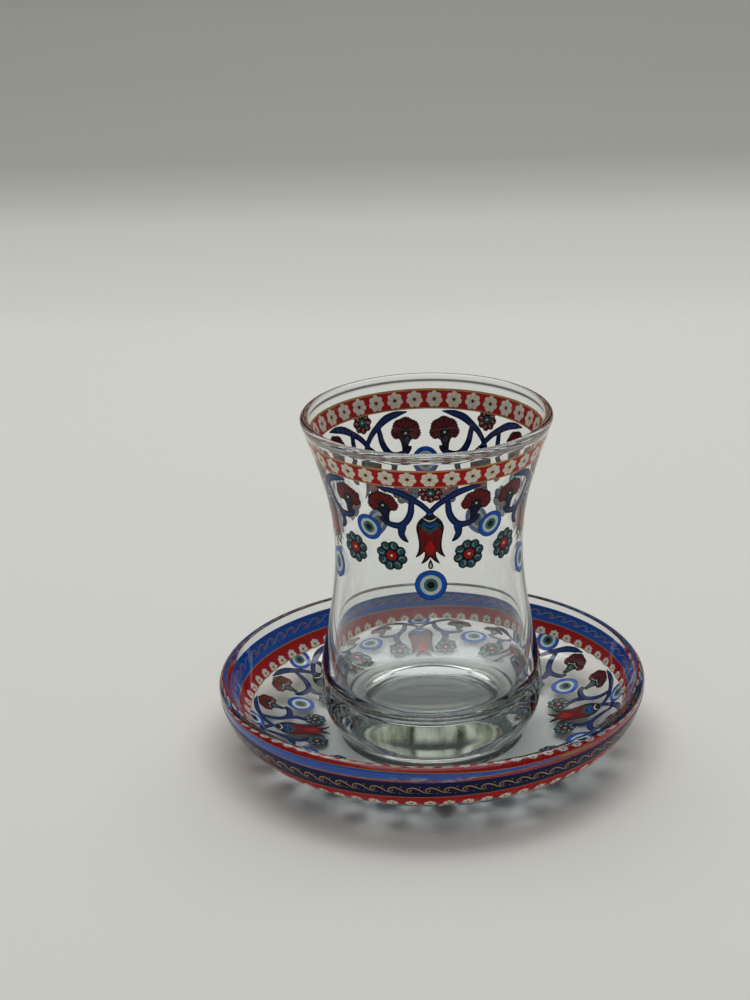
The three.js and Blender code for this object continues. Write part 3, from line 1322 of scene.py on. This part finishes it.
@dataclass(frozen=True)
class Studio:
    """The pale floor, the two soft lights, the room round them and the camera.

    Attributes:
        camera_place: the camera's place in millimetres.
        camera_tilt: degrees up from straight down.
        camera_pan: degrees from +Y towards -X.
        camera_roll: degrees about its own axis.
        focal_pixels: focal length in the picture's pixels.
        frame_height: the picture's height in pixels.
        sensor: the sensor's longer side in millimetres.
        floor_reach: half the floor's width in millimetres.
        floor_warmth: share of the blue that the floor's grey keeps.
        key_power: watts of the light behind.
        top_power: watts of the light in front.
        streak_shape: how far the wall's streaks are squeezed along each direction.
    """

    camera_place: tuple[float, float, float] = (0.3, -520.3, 272.6)
    camera_tilt: float = 68.4545
    camera_pan: float = 1.4973
    camera_roll: float = -1.6442
    focal_pixels: float = 2225.0
    frame_height: int = 1000
    sensor: float = 36.0
    floor_reach: float = 3000.0
    floor_warmth: float = 0.945
    key_power: float = 9.2
    top_power: float = 4.1
    streak_shape: tuple[float, float, float] = (2.2, 0.3, 0.35)

    def camera(self) -> None:
        """Sets the camera: turned about its own axis, tilted up from straight down, then panned."""
        data = bpy.data.cameras.new("camera")
        data.sensor_width = self.sensor
        data.lens = self.focal_pixels * self.sensor / self.frame_height
        data.clip_end = 20.0
        data.clip_start = 0.01
        turned = (
            Matrix.Rotation(math.radians(self.camera_pan), 4, "Z")
            @ Matrix.Rotation(math.radians(self.camera_tilt), 4, "X")
            @ Matrix.Rotation(math.radians(self.camera_roll), 4, "Z")
        )
        camera = bpy.data.objects.new("camera", data)
        camera.matrix_world = Matrix.Translation(Vector(self.camera_place) * MM) @ turned
        bpy.context.scene.collection.objects.link(camera)
        bpy.context.scene.camera = camera

    def floor(self) -> None:
        """Lays the floor, whose tone falls away softly towards the back."""
        square = np.array([[-1.0, -1.0, 0.0], [1.0, -1.0, 0.0], [1.0, 1.0, 0.0], [-1.0, 1.0, 0.0]])
        material, nodes, links, shader = blank_material("floor")
        place = nodes.new("ShaderNodeTexCoord")
        axes = nodes.new("ShaderNodeSeparateXYZ")
        links.new(place.outputs["Object"], axes.inputs["Vector"])
        tones = (
            (0.0, 0.80), (0.245, 0.82), (0.27, 0.77), (0.36, 0.70),
            (0.40, 0.57), (0.45, 0.46), (0.61, 0.50), (0.8, 0.61),
        )
        ramp = self.tone_ramp(nodes, tones, self.floor_warmth)
        span = nodes.new("ShaderNodeMapRange")
        span.inputs["From Min"].default_value = 0.0
        span.inputs["From Max"].default_value = 1.5
        links.new(axes.outputs["Y"], span.inputs["Value"])
        links.new(span.outputs["Result"], ramp.inputs["Fac"])
        links.new(ramp.outputs["Color"], shader.inputs["Base Color"])
        shader.inputs["Roughness"].default_value = 0.75
        shader.inputs["Specular IOR Level"].default_value = 0.2
        floor = piece_from("floor", square * self.floor_reach, [[0, 1, 2, 3]], material)

    def lights(self) -> None:
        """Hangs a broad soft light high behind the set, and one that lights the front of the glass."""
        self.soft_light("key", (0.0, 0.45, 1.25), (1.5, 0.7), self.key_power)
        self.soft_light("top", (0.0, -0.35, 1.5), (1.4, 1.0), self.top_power)

    def soft_light(
        self, name: str, place: tuple[float, float, float], size: tuple[float, float], power: float,
    ) -> None:
        """Adds one rectangular light that faces the glass.

        Args:
            name: the light's name.
            place: its place in metres.
            size: its width and height in metres.
            power: its power in watts.
        """
        data = bpy.data.lights.new(name, "AREA")
        data.shape = "RECTANGLE"
        data.size, data.size_y = size
        data.energy = power
        light = bpy.data.objects.new(name, data)
        light.location = place
        aim = Vector((0.0, 0.0, 0.03)) - Vector(place)
        light.rotation_euler = aim.to_track_quat("-Z", "Y").to_euler()
        bpy.context.scene.collection.objects.link(light)

    def room(self) -> None:
        """Lights the room from all round: grey, brighter overhead, a streaky warm wall high behind."""
        world = bpy.data.worlds.new("room")
        world.use_nodes = True
        nodes, links = world.node_tree.nodes, world.node_tree.links
        direction = nodes.new("ShaderNodeTexCoord")
        axes = nodes.new("ShaderNodeSeparateXYZ")
        links.new(direction.outputs["Generated"], axes.inputs["Vector"])
        sky = self.tone_ramp(nodes, ((0.0, 0.11), (0.15, 0.10), (0.45, 0.11), (0.75, 0.2), (1.0, 0.27)))
        links.new(axes.outputs["Z"], sky.inputs["Fac"])

        upright = nodes.new("ShaderNodeMapping")
        upright.inputs["Scale"].default_value = self.streak_shape
        links.new(direction.outputs["Generated"], upright.inputs["Vector"])
        wall = nodes.new("ShaderNodeValToRGB")
        wall_tones = ((0.34, (0.08, 0.08, 0.05)), (0.5, (0.46, 0.44, 0.33)), (0.64, (0.85, 0.82, 0.70)))
        wall.color_ramp.elements.new(0.5)
        for element, (position, tone) in zip(wall.color_ramp.elements, wall_tones):
            element.position = position
            element.color = (*tone, 1.0)
        links.new(noise_at(world.node_tree, upright.outputs["Vector"], 5.0, 3.0), wall.inputs["Fac"])

        behind = self.tone_ramp(nodes, ((0.4, 0.0), (0.55, 1.0)))
        links.new(axes.outputs["Y"], behind.inputs["Fac"])
        level = self.tone_ramp(nodes, ((0.46, 0.0), (0.52, 1.0), (0.68, 1.0), (0.76, 0.0)))
        links.new(axes.outputs["Z"], level.inputs["Fac"])
        both = nodes.new("ShaderNodeMath")
        both.operation = "MULTIPLY"
        links.new(behind.outputs["Color"], both.inputs[0])
        links.new(level.outputs["Color"], both.inputs[1])
        mix = nodes.new("ShaderNodeMix")
        mix.data_type = "RGBA"
        links.new(both.outputs["Value"], mix.inputs["Factor"])
        links.new(sky.outputs["Color"], mix.inputs["A"])
        links.new(wall.outputs["Color"], mix.inputs["B"])
        links.new(mix.outputs["Result"], nodes["Background"].inputs["Color"])
        nodes["Background"].inputs["Strength"].default_value = 1.0
        bpy.context.scene.world = world

    def tone_ramp(
        self, nodes: bpy.types.Nodes, tones: tuple[tuple[float, float], ...], warmth: float = 1.0,
    ) -> bpy.types.Node:
        """Adds a ramp of greys.

        Args:
            nodes: where it goes.
            tones: pairs of position and grey, in order.
            warmth: share of the blue that each grey keeps.

        Returns:
            The ramp's node.
        """
        ramp = nodes.new("ShaderNodeValToRGB")
        while len(ramp.color_ramp.elements) < len(tones):
            ramp.color_ramp.elements.new(0.5)
        for element, (position, tone) in zip(ramp.color_ramp.elements, tones):
            element.position = position
            element.color = (tone, tone, tone * warmth, 1.0)
        return ramp

    def build(self) -> None:
        """Sets up everything that isn't part of the object."""
        self.camera()
        self.floor()
        self.lights()
        self.room()
        bpy.context.scene.view_settings.view_transform = "Standard"
        bpy.context.scene.view_settings.look = "None"


def main() -> None:
    """Builds the glass, the saucer, their prints and the studio round the frame."""
    logging.basicConfig(level=logging.INFO, format="%(name)s: %(message)s")
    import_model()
    glass_low, glass_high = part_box("glass")
    _, saucer_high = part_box("saucer")
    motifs = Motifs()
    saucer = Saucer(radius=saucer_high.x / MM, height=saucer_high.z / MM)
    log.info("%s", saucer.build().name)
    glass = TeaGlass(base=glass_low.z / MM, top=glass_high.z / MM)
    log.info("%s", glass.build().name)
    SaucerPrint(saucer.skin, motifs).build()
    GlassPrint(glass.skin, motifs).build()
    Studio().build()


if __name__ == "__main__":
    main()
